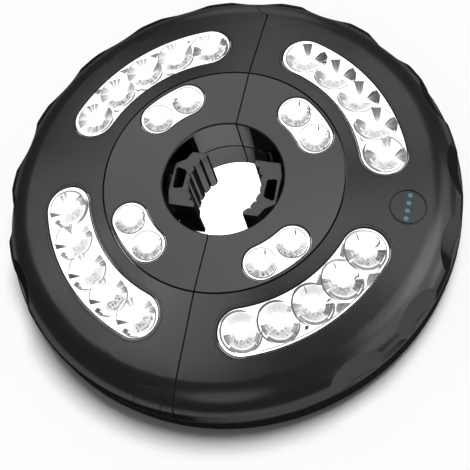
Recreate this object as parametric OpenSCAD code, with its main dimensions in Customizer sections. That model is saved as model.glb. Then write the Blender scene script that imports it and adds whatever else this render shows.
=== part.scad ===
/* [Body] */
// Outside diameter of the closed light
body_d = 205; // [195:1:250]
// Height from the back face to the lamp face
body_h = 40; // [38.5:0.5:43]
// Height of the joint between the front and back shells
part_z = 19.5; // [18.5:0.5:20.5]
// Thickness of the shell walls
wall = 2; // [1.8:0.1:2.2]
// Gap between the two halves along the seam
seam_gap = 0.6; // [0.3:0.1:0.7]
// Radius of the rounded back edge
back_round = 10; // [8:0.5:12]
// Width of the shadow line where two shells meet
shadow_line = 0.5; // [0.3:0.1:0.6]

/* [Rim] */
// Radial width of the sloped rim outside the face
rim_w = 13.5; // [12:0.5:15]
// Radial half-axis of the rim's curve
rim_a = 20; // [18:0.5:24]
// Vertical half-axis of the rim's curve
rim_b = 13; // [11:0.5:14]
// Depth of the centre of the rim's curve below the lamp face
rim_drop = 18.5; // [17.5:0.5:19]
// Places for scallops round the rim
scallops = 18; // [16:1:20]
// Turn of the scallop pattern from the seam, in degrees
scallop_turn = 15; // [13:1:17]
// Radius of each scallop's round cut
scallop_cut_r = 45; // [38:1:60]
// Lean of each scallop from the vertical, in degrees
scallop_lean = 23.3; // [20:0.1:26]
// Radial distance from the outside to the top of a scallop
scallop_in = 6.3; // [5:0.1:6.6]
// Half of the plain stretch of rim round the latch, in degrees
plain_rim = 36; // [32:1:40]

/* [Lamps] */
// Lamps in each large window
large_lamps = 5; // [3:1:5]
// Lamps in each small window
small_lamps = 2; // [1:1:2]
// Distance from the face's edge in to the large lamps' circle
large_inset = 18.95; // [18.5:0.1:20]
// Distance from the ring groove in to the small lamps' circle
small_inset = 9.43; // [9.2:0.1:10]
// Angle from one large lamp to the next
large_pitch = 13; // [12:0.1:13]
// Angle from one small lamp to the next
small_pitch = 20.1; // [19:0.1:21]
// Half-width of a large window
large_open = 10.4; // [10:0.1:10.6]
// Half-width of a small window
small_open = 8.3; // [8:0.1:8.4]
// Radius of a large lamp's dish
large_dish = 8.3; // [7.5:0.1:8.6]
// Radius of a small lamp's dish
small_dish = 6.8; // [6:0.1:7]
// Depth of a lamp's dish
dish_depth = 3; // [2:0.1:3.4]
// Land between the large windows and the ring groove
ring_land = 6.45; // [6:0.05:8]
// Height of the top of the lamp boards
board_z = 26; // [25.5:0.5:27]

/* [Pole clamp] */
// Diameter of the pole hole
hole_d = 53.4; // [50:0.2:56]
// Diameter that the two closed jaws grip
grip_d = 32; // [30:0.5:34]
// Width of a jaw
jaw_w = 26.4; // [24:0.2:28]
// Outward travel of each jaw
jaw_travel = 6; // [4:0.5:6.5]
// Ribs on each jaw
jaw_ribs = 7; // [6:1:8]
// Depth of the grooves between a jaw's ribs
rib_depth = 1.3; // [0.9:0.1:1.3]
// Distance from the jaws' tops to the lamp face
jaw_drop = 5.5; // [4:0.5:7]

/* [Hinge and latch] */
// Distance from the outside in to the hinge pin
hinge_in = 6.9; // [6.7:0.1:7.4]
// Radius of the hinge barrels
barrel_r = 6.1; // [5.6:0.1:6.1]
// Diameter of the hinge pin
hinge_pin_d = 3; // [2.5:0.1:3.4]
// Radial running clearance of a pin in its bore
pin_play = 0.05; // [0.03:0.01:0.08]
// Width of the release button
release_w = 11.6; // [10:0.2:12.4]
// Length of the release button down the rim
release_l = 10.2; // [9:0.2:11]
// Travel of the release button
release_travel = 2.4; // [2.2:0.1:2.6]

/* [Buttons, hooks and port] */
// Diameter of the power button
power_d = 14.8; // [13:0.2:16]
// Distance from the face's edge in to the power button's centre
power_in = 8.8; // [8.6:0.1:10]
// Diameter of a charge light
charge_light_d = 2.1; // [1.6:0.1:2.4]
// Distance from one charge light to the next
charge_light_gap = 3.6; // [3:0.1:3.6]
// Angle of the hooks round the body
hook_turn = 50; // [47:1:53]
// Distance from the pole hole's axis to the hooks
hook_r = 78; // [76:0.5:80]
// Gap in a hook's throat
hook_gap = 6.4; // [5.4:0.2:7]
// Diameter of a hook's pin
hook_pin_d = 2; // [1.6:0.1:2.4]
// Angle of the charging port round the body
port_turn = -12.5; // [-15:0.5:-10]
// Length of the charging port's cover
cover_l = 22; // [18:0.5:24]
// Height of the charging port's cover
cover_h = 5.4; // [5:0.2:6.4]

/* [Inside] */
// Diameter of a battery cell
cell_d = 18.4; // [14:0.2:18.6]
// Length of a battery cell
cell_l = 65; // [48:1:66]
// Thickness of the lamp boards
board_t = 1.6; // [1:0.2:1.6]

/* [Hidden] */
$fn = 96;

charcoal = [0.27, 0.27, 0.28];
near_black = [0.13, 0.13, 0.14];
clear_white = [0.93, 0.95, 0.97];
steel = [0.72, 0.72, 0.7];

// Sides: the left half is -1 and the right half is 1
LEFT = -1;
RIGHT = 1;

body_r = body_d / 2;
hole_r = hole_d / 2;
grip_r = grip_d / 2;
far = body_r + 20;
tall = body_h + 20;

// The rim's section is part of an ellipse, and ends in a short step to the outer wall
rim_step = 0.9;
rim_segments = 12;
face_r = body_r - rim_w;
rim_cr = body_r - rim_a;
rim_cz = body_h - rim_drop;
rim_t0 = acos((face_r - rim_cr) / rim_a);
rim_t1 = acos((rim_a - rim_step) / rim_a);
function rim_point(t) = [rim_cr + rim_a * cos(t), rim_cz + rim_b * sin(t)];
rim_curve = [for (i = [0:rim_segments]) rim_point(rim_t0 + (rim_t1 - rim_t0) * i / rim_segments)];
// Height of the rim's surface above a radius
function rim_z(r) = rim_cz + rim_b * sqrt(1 - pow((r - rim_cr) / rim_a, 2));

// Circles on the face, and the face's gentle cone outside the ring groove
large_r = face_r - large_inset;
ring_r = large_r - large_open - ring_land;
small_r = ring_r - small_inset;
face_edge_z = rim_point(rim_t0)[1];
face_tilt = atan((body_h - face_edge_z) / (face_r - ring_r));
function face_z(r) = body_h - max(r - ring_r, 0) * tan(face_tilt);

// The hub panel sits on a ledge of the front shell
ring_gap = 0.35;
end_swell = 0.05;
ledge_w = 3.2;
ledge_t = 2;
ledge_r = ring_r - ledge_w;
under_face = body_h - wall;
hole_edge = 0.6;
parting_groove = 0.5;
hole_round = 4;

// Thick lower rim, so that the scallops leave a sound wall
rim_in_r = body_r - 4.3;
rim_in_top = [face_r + 5, rim_z(face_r + 5) - 2.4];
shelf_in = [face_r - 0.4, face_z(face_r - 0.4) - wall];

// Lens plates
lens_set = 0.3;
lens_gap = 0.3;
large_flange_w = 1.4;
small_flange_w = 0.9;
flange_t = 1.4;
lens_foot = 0.3;
lamp_foot_r = 3.4;
lamp_pocket_r = 2.6;
lamp_pocket_h = 2.9;
optic_steps = 5;

// Hinge: the right half has the top and bottom barrels, the left half the middle pair
hinge_y = body_r - hinge_in;
pin_r = hinge_pin_d / 2;
barrel_gap = 0.3;
barrel_top = part_z + 5.5;
barrel_low = part_z - 7.5;
pin_top = part_z + 8.7;
pin_end = 1.2;
barrel_relief = barrel_r + 3.4;
boss_r = barrel_r + 3;

// Latch: the release button slides square to the rim
release_x = -(release_w / 2 + 5.7);
release_out = body_r - 1;
release_mid = [body_r - 4.65, rim_z(body_r - 8.1) - 3.75];
release_tilt = 47.4;
release_gap = 0.3;
tongue_y = -(body_r - 12.5);
tongue_w = 5;
tongue_t = 3;
tongue_z = part_z - 3.5;
tongue_tip = -11.5;
latch_bite = 1.3;
latch_gap = 0.4;

// Jaws and their guides
jaw_top = body_h - jaw_drop;
jaw_low = 7.5;
jaw_front = grip_r - 5;
jaw_back = grip_r + 8.2;
jaw_half = jaw_w / 2;
rib_round = 1.4;
rib_notch = 0.1;
mouth_left = jaw_half + 6;
mouth_right_low = hole_r - 0.9;
mouth_right_top = jaw_half + 7.6;
foot_half = jaw_half + 4.2;
foot_gap = 0.2;
foot_t = 3;
foot_start = hole_r + 5;
foot_end = foot_start + 10.3;
tail_half = 9;
tail_low = 8;
tail_top = 28;
tail_neck = 17;
rail_t = 1.5;
rail_end = foot_end + jaw_travel + 3.5;
spring_z = 18;
spring_r = 3.2;
spring_wire = 0.8;
spring_seat = rail_end;
spring_depth = 10;

// Power button and its switch
power_r = power_d / 2;
power_x = face_r - power_in;
power_y = 0.4;
power_gap = 0.25;
power_flange_z = board_z + 4.1;
power_flange_t = 1.2;
button_depth = face_z(power_x) - power_flange_z + 3;
switch_h = 2.9;
plunger_r = 1.7;
charge_light_n = 4;

// Hooks fold flat into pockets in the back
hook_w = 13;
hook_l = 33;
hook_t = 3.6;
hook_gap_side = 0.5;
hook_pin_z = 3.2;
hook_barrel_r = 2.6;
hook_pin_r = hook_pin_d / 2;
pocket_h = 6.3;
pocket_wall = 1.5;

// Charging port
port_z = 14;
port_floor = body_r - 2.5;
cover_gap = 0.45;
port_block = 4;
socket_w = 8.9;
socket_h = 3.2;
socket_l = 7.4;

// Cells and boards
cell_x = spring_seat + 13.8;
cell_z = wall + 0.7 + cell_d / 2;
board_in = ring_r + 2.8;
board_out = face_r - 1;
board_y = face_r - 11;
lobe_turn = 18;

// Screws: [distance from the axis, angle] on the right half, and turned half round on the left
case_posts = [[body_r - 12.2, 68], [body_r - 12.2, 28], [body_r - 12.2, -38], [body_r - 12.2, -66]];
hub_posts = [[hole_r + 7.3, 72], [hole_r + 7.3, -72]];
board_posts = [[face_r - 4, 52], [face_r - 4, -52], [board_in + 4, 0]];
post_r = 3.1;
back_post_r = 4.2;
head_r = 2.6;
head_h = 2;
head_hole_r = 2.9;
seat_z = 12;
screw_r = 1.25;
screw_l = 12;
screw_hole_r = 1.5;
pilot_r = 1.3;
board_post_r = 2.3;
board_screw_r = 0.85;
board_pilot_r = 0.9;
board_hole_r = 1.1;
board_head_r = 1.7;
board_head_h = 1.2;
board_screw_l = 6;

// ---------- Shared forms ----------

// Everything on one side of the seam, starting a distance from it
module half_space(side, start) {
    translate([side > 0 ? start : -start - far, -far, -10]) cube([far, 2 * far, tall + 20]);
}

// A half turn for the left half
module on_side(side) {
    rotate(side > 0 ? 0 : 180) children();
}

module at_polar(p) {
    rotate(p[1]) translate([p[0], 0, 0]) children();
}

// A wedge of the plan, spread evenly about +X
module wedge(spread, z, h) {
    translate([0, 0, z]) linear_extrude(h)
        polygon([[0, 0], [far, -far * tan(spread)], [far, far * tan(spread)]]);
}

// A slot with round ends, bent round the axis
module arc_slot(r, half_w, spread, z, h) {
    difference() {
        intersection() {
            translate([0, 0, z]) cylinder(r = r + half_w, h = h);
            wedge(spread, z, h);
        }
        translate([0, 0, z - 1]) cylinder(r = r - half_w, h = h + 2);
    }
    for (s = [-1, 1]) rotate(s * spread) translate([r, 0, z]) cylinder(r = half_w + end_swell, h = h);
}

// A ring that follows the face, between two depths below it
module face_band(r1, r2, top, bottom) {
    rotate_extrude() polygon([
        [r1, face_z(r1) - bottom], [r1, face_z(r1) - top],
        [r2, face_z(r2) - top], [r2, face_z(r2) - bottom]
    ]);
}

module ring(r_in, r_out, z, h) {
    translate([0, 0, z]) difference() {
        cylinder(r = r_out, h = h);
        translate([0, 0, -1]) cylinder(r = r_in, h = h + 2);
    }
}

// Solid form inside the front shell's outside, from the ledge outwards
module front_form() {
    rotate_extrude() polygon(concat(
        [
            [ledge_r, part_z], [ledge_r, under_face], [ring_r + ring_gap, under_face],
            [ring_r + ring_gap, face_z(ring_r + ring_gap)]
        ],
        rim_curve,
        [
            [body_r, part_z + shadow_line + 0.4], [body_r - 0.6, part_z + shadow_line],
            [body_r - 0.6, part_z]
        ]
    ));
}

module front_space() {
    rotate_extrude() polygon([
        [ledge_r - 1, part_z - 1], [ledge_r - 1, under_face - ledge_t], [ring_r + 1.5, under_face - ledge_t],
        [ring_r + 1.5, face_z(ring_r + 1.5) - wall], shelf_in, rim_in_top,
        [rim_in_r, part_z], [rim_in_r, part_z - 1]
    ]);
}

// Solid form inside the back shell's outside
module back_form() {
    rotate_extrude() polygon(concat(
        [for (a = [0:15:90]) [hole_r + hole_round - hole_round * cos(a), hole_round - hole_round * sin(a)]],
        [for (a = [90:-15:0]) [body_r - back_round + back_round * cos(a), back_round - back_round * sin(a)]],
        [
            [body_r, part_z - shadow_line - 0.4], [body_r - 0.6, part_z - shadow_line],
            [body_r - 0.6, part_z], [hole_r + parting_groove, part_z], [hole_r, part_z - parting_groove]
        ]
    ));
}

module back_space() {
    in_round = back_round - wall;
    rotate_extrude() polygon(concat(
        [[hole_r + wall, part_z + 1], [hole_r + wall, hole_round + 1], [hole_r + hole_round + 0.8, wall]],
        [
            for (a = [90:-15:0])
                [body_r - back_round + in_round * cos(a), back_round - in_round * sin(a)]
        ],
        [[body_r - wall, part_z + 1]]
    ));
}

// ---------- Rim, hinge and latch cuts ----------

// Angle of a scallop, brought between -90 and 270 degrees
function scallop_angle(k) = scallop_turn + 360 / scallops * k;
// How far an angle is from the latch
function from_latch(a) = abs((a + 90 + 180) % 360 - 180);

module scallop_cuts(side) {
    top_r = body_r - scallop_in;
    top_z = rim_z(top_r);
    for (k = [0:scallops - 1]) {
        a = scallop_angle(k);
        if (from_latch(a) > plain_rim && cos(a) * side > -0.25)
            rotate(a) translate([top_r, 0, top_z]) rotate([0, -scallop_lean, 0])
                translate([scallop_cut_r, 0, 0]) cylinder(r = scallop_cut_r, h = 2 * tall, center = true);
    }
}

module at_hinge(z) {
    translate([0, hinge_y, z]) children();
}

// The rim beyond the barrels is eased, so that the halves swing past each other
module hinge_relief() {
    intersection() {
        at_hinge(-5) difference() {
            cylinder(r = barrel_relief, h = tall);
            translate([0, 0, -1]) cylinder(r = barrel_r, h = tall + 2);
        }
        translate([0, hinge_y, -5]) rotate(90) wedge(40, 0, tall);
    }
}

// Room in this half for a barrel of the other half
module barrel_room(z1, z2) {
    at_hinge(z1) cylinder(r = barrel_r + barrel_gap, h = z2 - z1);
}

module barrel(z1, z2) {
    at_hinge(z1) cylinder(r = barrel_r, h = z2 - z1);
}

module pin_hole(clearance, z1, z2) {
    at_hinge(z1) cylinder(r = pin_r + clearance, h = z2 - z1);
}

// The release button's own frame: +Z out of the rim
module at_release() {
    translate([release_x, -release_mid[0], release_mid[1]]) rotate([release_tilt, 0, 0]) children();
}

module block(x1, x2, y1, y2, z1, z2) {
    translate([x1, y1, z1]) cube([x2 - x1, y2 - y1, z2 - z1]);
}

// ---------- Front ----------

module posts(side, list, r, z1, z2) {
    on_side(side) for (p = list) at_polar(p) translate([0, 0, z1]) cylinder(r = r, h = z2 - z1);
}

module front_shell(side) {
    color(charcoal) difference() {
        union() {
            difference() {
                intersection() {
                    front_form();
                    half_space(side, seam_gap / 2);
                }
                intersection() {
                    front_space();
                    half_space(side, seam_gap / 2 + wall);
                }
            }
            intersection() {
                front_form();
                union() {
                    intersection() {
                        at_hinge(part_z) cylinder(r = boss_r, h = tall);
                        half_space(side, seam_gap / 2);
                    }
                    if (side == RIGHT) barrel(barrel_top + barrel_gap / 2, tall);
                    if (side == LEFT) barrel(part_z, barrel_top - barrel_gap / 2);
                    posts(side, case_posts, post_r, part_z, tall);
                    posts(side, board_posts, board_post_r, board_z, tall);
                }
            }
        }
        scallop_cuts(side);
        hinge_relief();
        if (side == RIGHT) barrel_room(part_z - 1, barrel_top + barrel_gap / 2);
        if (side == LEFT) barrel_room(barrel_top - barrel_gap / 2, tall);
        pin_hole(side == LEFT ? 0 : pin_play, part_z - 1, pin_top + 0.3);
        for (t = [45, -45]) rotate(side == RIGHT ? t : 180 - t) {
            arc_slot(large_r, large_open, large_pitch * (large_lamps - 1) / 2, part_z, tall);
            arc_slot(small_r, small_open + small_flange_w + lens_gap, small_pitch * (small_lamps - 1) / 2,
                     part_z + 10, tall);
        }
        posts(side, case_posts, pilot_r, part_z - 1, part_z + 8);
        posts(side, board_posts, board_pilot_r, board_z - 1, board_z + 5.5);
        if (side == RIGHT) translate([power_x, power_y, part_z]) cylinder(r = power_r + power_gap, h = tall);
        if (side == LEFT) at_release()
            block(-release_w / 2 - release_gap, release_w / 2 + release_gap,
                  -release_l / 2 - release_gap, release_l / 2 + release_gap, -18, 10);
    }
}

module hub_form() {
    rotate_extrude() polygon([
        [hole_r + parting_groove, part_z], [hole_r, part_z + parting_groove],
        [hole_r, body_h - hole_edge], [hole_r + hole_edge, body_h],
        [ring_r - ring_gap, body_h], [ring_r - ring_gap, under_face],
        [ledge_r - ring_gap, under_face], [ledge_r - ring_gap, part_z]
    ]);
}

module hub_panel(side) {
    color(charcoal) difference() {
        union() {
            difference() {
                intersection() {
                    hub_form();
                    half_space(side, seam_gap / 2);
                }
                intersection() {
                    ring(hole_r + wall, ring_r, part_z - 1, under_face - part_z + 1);
                    half_space(side, seam_gap / 2 + wall);
                }
            }
            posts(side, hub_posts, post_r, part_z, body_h - 1);
        }
        posts(side, hub_posts, pilot_r, part_z - 1, part_z + 8);
        for (t = [45, -45]) rotate(side == RIGHT ? t : 180 - t)
            arc_slot(small_r, small_open, small_pitch * (small_lamps - 1) / 2, part_z, tall);
        if (side == LEFT) block(-hole_r - 8, 0, -mouth_left, mouth_left, part_z - 1, under_face);
        if (side == RIGHT) translate([8, 0, 0]) rotate([90, 0, 90]) linear_extrude(hole_r) polygon([
            [-mouth_right_low, part_z - 1], [-mouth_right_low, part_z],
            [-mouth_right_top, jaw_top], [-mouth_right_top + 6, under_face],
            [mouth_right_top - 6, under_face], [mouth_right_top, jaw_top],
            [mouth_right_low, part_z], [mouth_right_low, part_z - 1]
        ]);
    }
}

// ---------- Lamps ----------

// A collimator that widens from a lamp up to its plate
module optic(foot_r, top_r, z1, z2) {
    translate([0, 0, z1]) rotate_extrude() polygon(concat(
        [[0, 0]],
        [
            for (i = [0:optic_steps])
                [foot_r + (top_r - foot_r) * pow(i / optic_steps, 0.7), (z2 - z1) * i / optic_steps]
        ],
        [[0, z2 - z1]]
    ));
}

module lens(r, open, flange_w, pitch, count, dish_r, tilt) {
    spread = pitch * (count - 1) / 2;
    depth = wall + flange_t;
    optic_top = face_z(r) - depth + 1.55;
    color(clear_white) difference() {
        union() {
            intersection() {
                face_band(r - open - 3, r + open + 3, lens_set, depth);
                arc_slot(r, open - lens_gap, spread, part_z, tall);
            }
            intersection() {
                face_band(r - open - 3, r + open + 3, wall + 0.02, depth);
                arc_slot(r, open + flange_w, spread, part_z, tall);
            }
            for (k = [0:count - 1]) rotate(pitch * k - spread) translate([r, 0, 0])
                optic(lamp_foot_r, dish_r + 0.15, board_z + lens_foot, optic_top);
        }
        for (k = [0:count - 1]) rotate(pitch * k - spread) {
            translate([r, 0, face_z(r) - lens_set]) rotate([0, tilt, 0]) translate([0, 0, -dish_depth])
                cylinder(r1 = dish_r - dish_depth, r2 = dish_r + 1, h = dish_depth + 1);
            translate([r, 0, board_z]) cylinder(r = lamp_pocket_r, h = lamp_pocket_h);
        }
    }
}

module large_lens(turn) {
    rotate(turn) lens(large_r, large_open, large_flange_w, large_pitch, large_lamps, large_dish, face_tilt);
}

module small_lens(turn) {
    rotate(turn) lens(small_r, small_open, small_flange_w, small_pitch, small_lamps, small_dish, 0);
}

module lamp_chip() {
    color([0.95, 0.9, 0.6]) {
        translate([-1.75, -1.75, 0]) cube([3.5, 3.5, 0.8]);
        translate([0, 0, 0.7]) cylinder(r1 = 1.5, r2 = 0.8, h = 1.2);
    }
}

module lamps(side) {
    for (t = [45, -45]) rotate(side == RIGHT ? t : 180 - t) {
        for (k = [0:large_lamps - 1]) rotate(large_pitch * (k - (large_lamps - 1) / 2))
            translate([large_r, 0, board_z]) lamp_chip();
        for (k = [0:small_lamps - 1]) rotate(small_pitch * (k - (small_lamps - 1) / 2))
            translate([small_r, 0, board_z]) lamp_chip();
    }
}

module lamp_board(side) {
    low = board_z - board_t;
    color([0.85, 0.87, 0.85]) difference() {
        union() {
            intersection() {
                ring(board_in, board_out, low, board_t);
                half_space(side, 4);
                translate([-far, -board_y, low - 1]) cube([2 * far, 2 * board_y, 10]);
            }
            for (t = [45, -45]) rotate(side == RIGHT ? t : 180 - t) intersection() {
                ring(small_r - 7.8, board_in + 1, low, board_t);
                wedge(lobe_turn, low - 1, 10);
            }
        }
        posts(side, board_posts, board_hole_r, low - 1, board_z + 1);
        posts(side, case_posts, post_r + 0.4, low - 1, board_z + 1);
    }
}

// ---------- Back ----------

module hook_pocket_wall() {
    block(-hook_w / 2 - hook_gap_side - pocket_wall, hook_w / 2 + hook_gap_side + pocket_wall,
          -hook_l / 2 - hook_gap_side - pocket_wall, hook_l / 2 + hook_gap_side + pocket_wall,
          0, pocket_h + pocket_wall);
}

module hook_pocket() {
    block(-hook_w / 2 - hook_gap_side, hook_w / 2 + hook_gap_side,
          -hook_l / 2 - hook_gap_side, hook_l / 2 + hook_gap_side, -1, pocket_h);
}

module at_hook(side) {
    on_side(side) rotate(hook_turn) translate([hook_r, 0, 0]) children();
}

module jaw_guides(side) {
    on_side(side) {
        for (s = [-1, 1]) scale([1, s, 1]) {
            block(foot_start, rail_end, foot_half + foot_gap, foot_half + foot_gap + rail_t, wall - 0.5, wall + foot_t + 2);
            block(foot_start, rail_end, foot_half - 2.6, foot_half + foot_gap + rail_t, wall + foot_t + 2 * foot_gap, wall + foot_t + 2);
            block(foot_start - 1.5, foot_start, foot_half - 2.6, foot_half + foot_gap + rail_t, wall - 0.5, wall + foot_t + 2);
        }
        block(spring_seat, spring_seat + wall, -foot_half, foot_half, wall - 0.5, spring_z + 5);
        translate([spring_seat - 3, 0, spring_z]) rotate([0, 90, 0]) cylinder(r = spring_r - spring_wire - 0.2, h = 4);
    }
}

module cell_cradle(side) {
    on_side(side) difference() {
        union() {
            for (s = [-1, 1]) {
                block(cell_x - cell_d / 2 - 1, cell_x + cell_d / 2 + 1, s * cell_l * 0.3 - 1, s * cell_l * 0.3 + 1,
                      wall - 0.5, cell_z - 2);
                block(cell_x - cell_d / 2, cell_x + cell_d / 2, s * (cell_l / 2 + 3) - 1, s * (cell_l / 2 + 3) + 1,
                      wall - 0.5, cell_z + 3);
            }
        }
        translate([cell_x, 0, cell_z]) rotate([90, 0, 0]) cylinder(r = cell_d / 2 + 0.2, h = cell_l + 1, center = true);
    }
}

// The right half's tongue reaches across the seam and into the left half
module latch_tongue() {
    difference() {
        union() {
            block(tongue_tip, seam_gap / 2 + wall + 1, tongue_y - tongue_w / 2, tongue_y + tongue_w / 2,
                  tongue_z, tongue_z + tongue_t);
            block(seam_gap / 2 + wall - 0.5, seam_gap / 2 + wall + 3, tongue_y - tongue_w / 2, tongue_y + tongue_w / 2,
                  wall - 0.5, tongue_z + tongue_t);
        }
        block(tongue_tip + 1.6, tongue_tip + 6, tongue_y - tongue_w, tongue_y + tongue_w,
              tongue_z - 1, tongue_z + latch_bite + latch_gap);
        translate([tongue_tip, tongue_y, tongue_z]) rotate([0, 45, 0]) cube([1.6, 2 * tongue_w, 1.6], center = true);
    }
}

module at_port() {
    rotate(port_turn) children();
}

// An upright slab with round ends, standing across the port
module port_slab(x1, x2, l, h) {
    translate([x1, 0, port_z]) rotate([0, 90, 0]) {
        for (s = [-1, 1]) translate([0, s * (l - h) / 2, 0]) cylinder(r = h / 2, h = x2 - x1);
        translate([-h / 2, -(l - h) / 2, 0]) cube([h, l - h, x2 - x1]);
    }
}

module back_shell(side) {
    mouth = side == LEFT ? mouth_left : mouth_right_low - 0.6;
    color(near_black) difference() {
        union() {
            difference() {
                intersection() {
                    back_form();
                    half_space(side, seam_gap / 2);
                }
                intersection() {
                    back_space();
                    half_space(side, seam_gap / 2 + wall);
                }
            }
            intersection() {
                back_form();
                union() {
                    intersection() {
                        at_hinge(0) cylinder(r = boss_r, h = part_z);
                        half_space(side, seam_gap / 2);
                    }
                    if (side == LEFT) barrel(barrel_low + barrel_gap / 2, part_z);
                    if (side == RIGHT) barrel(0, barrel_low - barrel_gap / 2);
                    posts(side, case_posts, back_post_r, 0, part_z);
                    posts(side, hub_posts, back_post_r - 0.6, 0, part_z);
                    at_hook(side) hook_pocket_wall();
                    if (side == RIGHT) at_port()
                        block(port_floor - port_block, port_floor + 1, -cover_l / 2 - 3, cover_l / 2 + 3, wall, part_z);
                    if (side == RIGHT) at_port() for (s = [-1, 1])
                        translate([port_floor - 15, 9 * s, 0]) cylinder(r = 2.2, h = port_z - socket_h / 2 - board_t);
                    if (side == LEFT) translate([release_x - release_w / 2 + 2.4, tongue_y, 0]) cylinder(r = 1.4, h = wall + 3);
                }
            }
            jaw_guides(side);
            cell_cradle(side);
            if (side == RIGHT) latch_tongue();
        }
        hinge_relief();
        if (side == LEFT) barrel_room(-1, barrel_low + barrel_gap / 2);
        if (side == RIGHT) barrel_room(barrel_low - barrel_gap / 2, part_z + 1);
        pin_hole(side == LEFT ? 0 : pin_play, -1, part_z + 1);
        on_side(side) block(hole_r - 15, hole_r + hole_round + 1.2, -mouth, mouth, wall, part_z + 1);
        at_hook(side) {
            hook_pocket();
            translate([-hook_w / 2 - 5, -hook_l / 2 + 3, hook_pin_z]) rotate([0, 90, 0])
                cylinder(r = hook_pin_r, h = hook_w + 10 - hook_gap_side - 2.5);
        }
        posts(side, concat(case_posts, hub_posts), screw_hole_r, -1, part_z + 1);
        posts(side, concat(case_posts, hub_posts), head_hole_r, -1, seat_z);
        if (side == RIGHT) at_port() {
            port_slab(port_floor, far, cover_l, cover_h);
            port_slab(port_floor - port_block - 1, far, socket_w + 0.6, socket_h + 0.6);
        }
        if (side == LEFT)
            block(-wall - 1, 0, tongue_y - tongue_w / 2 - 0.9, tongue_y + tongue_w / 2 + 0.9, tongue_z - 0.8, part_z + 1);
    }
}

// ---------- Moving pieces ----------

// Groove between two ribs, cut from the grip outwards
module rib_groove() {
    side_y = rib_round + rib_notch / 2;
    difference() {
        block(grip_r - 1.5, grip_r + rib_depth, -side_y, side_y, -1, tall);
        for (s = [-1, 1]) translate([grip_r + rib_round - 0.04, s * side_y, -2]) cylinder(r = rib_round, h = tall + 4);
    }
}

// The jaw's pocket, a slanted opening with cut corners
module jaw_pocket() {
    back_x = jaw_back - 1;
    front_x = grip_r + 2.2;
    polygon([
        [front_x, -3.2], [front_x + 0.8, -4.1], [back_x - 0.8, -5], [back_x, -4.3],
        [back_x - 0.5, 4.6], [back_x - 1.4, 5.3], [front_x + 0.7, 4.7], [front_x, 3.9]
    ]);
}

module jaw(side) {
    rib_pitch = 100 / jaw_ribs;
    color(charcoal) on_side(side) difference() {
        union() {
            translate([0, 0, jaw_low]) linear_extrude(jaw_top - jaw_low) polygon([
                [jaw_front, -jaw_half], [jaw_back - 6.4, -jaw_half], [jaw_back - 4.2, -jaw_half + 4],
                [jaw_back, -jaw_half + 6.6], [jaw_back, jaw_half - 6], [jaw_back - 1.8, jaw_half],
                [jaw_front, jaw_half]
            ]);
            block(jaw_back - 3, foot_end, -tail_half, tail_half, jaw_low, tail_neck);
            block(foot_start, foot_end, -tail_half, tail_half, jaw_low, tail_top);
            block(foot_start + 0.2, foot_end, -foot_half, foot_half, wall + foot_gap, wall + foot_t);
            block(foot_start + 0.5, foot_end, -tail_half, tail_half, wall + foot_gap, jaw_low + 1);
        }
        translate([0, 0, -1]) cylinder(r = grip_r, h = tall);
        for (i = [0:jaw_ribs - 2]) rotate((i - (jaw_ribs - 2) / 2) * rib_pitch) rib_groove();
        translate([0, 0, jaw_low + 6]) linear_extrude(tall) jaw_pocket();
        block(jaw_front + 3, foot_start, jaw_half - 4, jaw_half + 1, jaw_low + 3, jaw_top - 2);
        translate([foot_end - spring_depth, 0, spring_z]) rotate([0, 90, 0]) cylinder(r = spring_r + 0.3, h = 40);
    }
}

module tube(r_out, r_in, h) {
    difference() {
        cylinder(r = r_out, h = h);
        translate([0, 0, -1]) cylinder(r = r_in, h = h + 2);
    }
}

module jaw_spring(side) {
    color(steel) on_side(side) translate([foot_end - spring_depth, 0, spring_z]) rotate([0, 90, 0])
        tube(spring_r, spring_r - spring_wire, spring_seat - foot_end + spring_depth);
}

module hinge_pin() {
    color(steel) at_hinge(pin_end) cylinder(r = pin_r, h = pin_top - pin_end);
}

module release_button() {
    arm_x1 = release_x - release_w / 2 + 0.1;
    arm_x2 = arm_x1 + 4.6;
    arm_y1 = tongue_y - 1.5;
    arm_y2 = tongue_y + 3.5;
    nose_top = tongue_z + latch_bite;
    color(near_black) union() {
        intersection() {
            front_form();
            at_release() block(-release_w / 2, release_w / 2, -release_l / 2, release_l / 2, -4, 10);
        }
        at_release() {
            block(-release_w / 2 - 1.8, release_w / 2 + 1.8, -2, 2, -7.4, -6);
            block(-release_w / 2 + 1, release_w / 2 - 1, -2, 2, -7, -3.5);
            block(-release_w / 2 + 0.1, -release_w / 2 + 4.7, -2.5, 3, -15, -3.5);
        }
        block(arm_x1, arm_x2, arm_y1, arm_y2, tongue_z - 3.2, tongue_z + 3.2);
        block(arm_x1, tongue_tip + 5.6, arm_y1, arm_y2, tongue_z - 3.2, tongue_z - 0.8);
        translate([0, arm_y2, 0]) rotate([90, 0, 0]) linear_extrude(arm_y2 - arm_y1) polygon([
            [tongue_tip + 2, tongue_z - 1.5], [tongue_tip + 5.6, tongue_z - 1.5],
            [tongue_tip + 5.6, tongue_z - 0.6], [tongue_tip + 4.2, nose_top], [tongue_tip + 2, nose_top]
        ]);
    }
}

module latch_spring() {
    color(steel) translate([release_x - release_w / 2 + 2.4, tongue_y, wall + 0.1])
        tube(2.3, 1.6, tongue_z - 3.3 - wall);
}

module power_button() {
    color(charcoal) difference() {
        union() {
            intersection() {
                face_band(power_x - 12, power_x + 12, 0.1, button_depth);
                translate([power_x, power_y, power_flange_z]) cylinder(r = power_r, h = tall);
            }
            translate([power_x, power_y, power_flange_z]) cylinder(r = power_r + 1.2, h = power_flange_t);
        }
        charge_light_holes(0, 0.05);
    }
}

module charge_light_holes(lift, clearance) {
    for (i = [0:charge_light_n - 1])
        translate([power_x, power_y + (i - (charge_light_n - 1) / 2) * charge_light_gap, power_flange_z - 1 + lift])
            cylinder(r = charge_light_d / 2 + clearance, h = tall);
}

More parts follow.
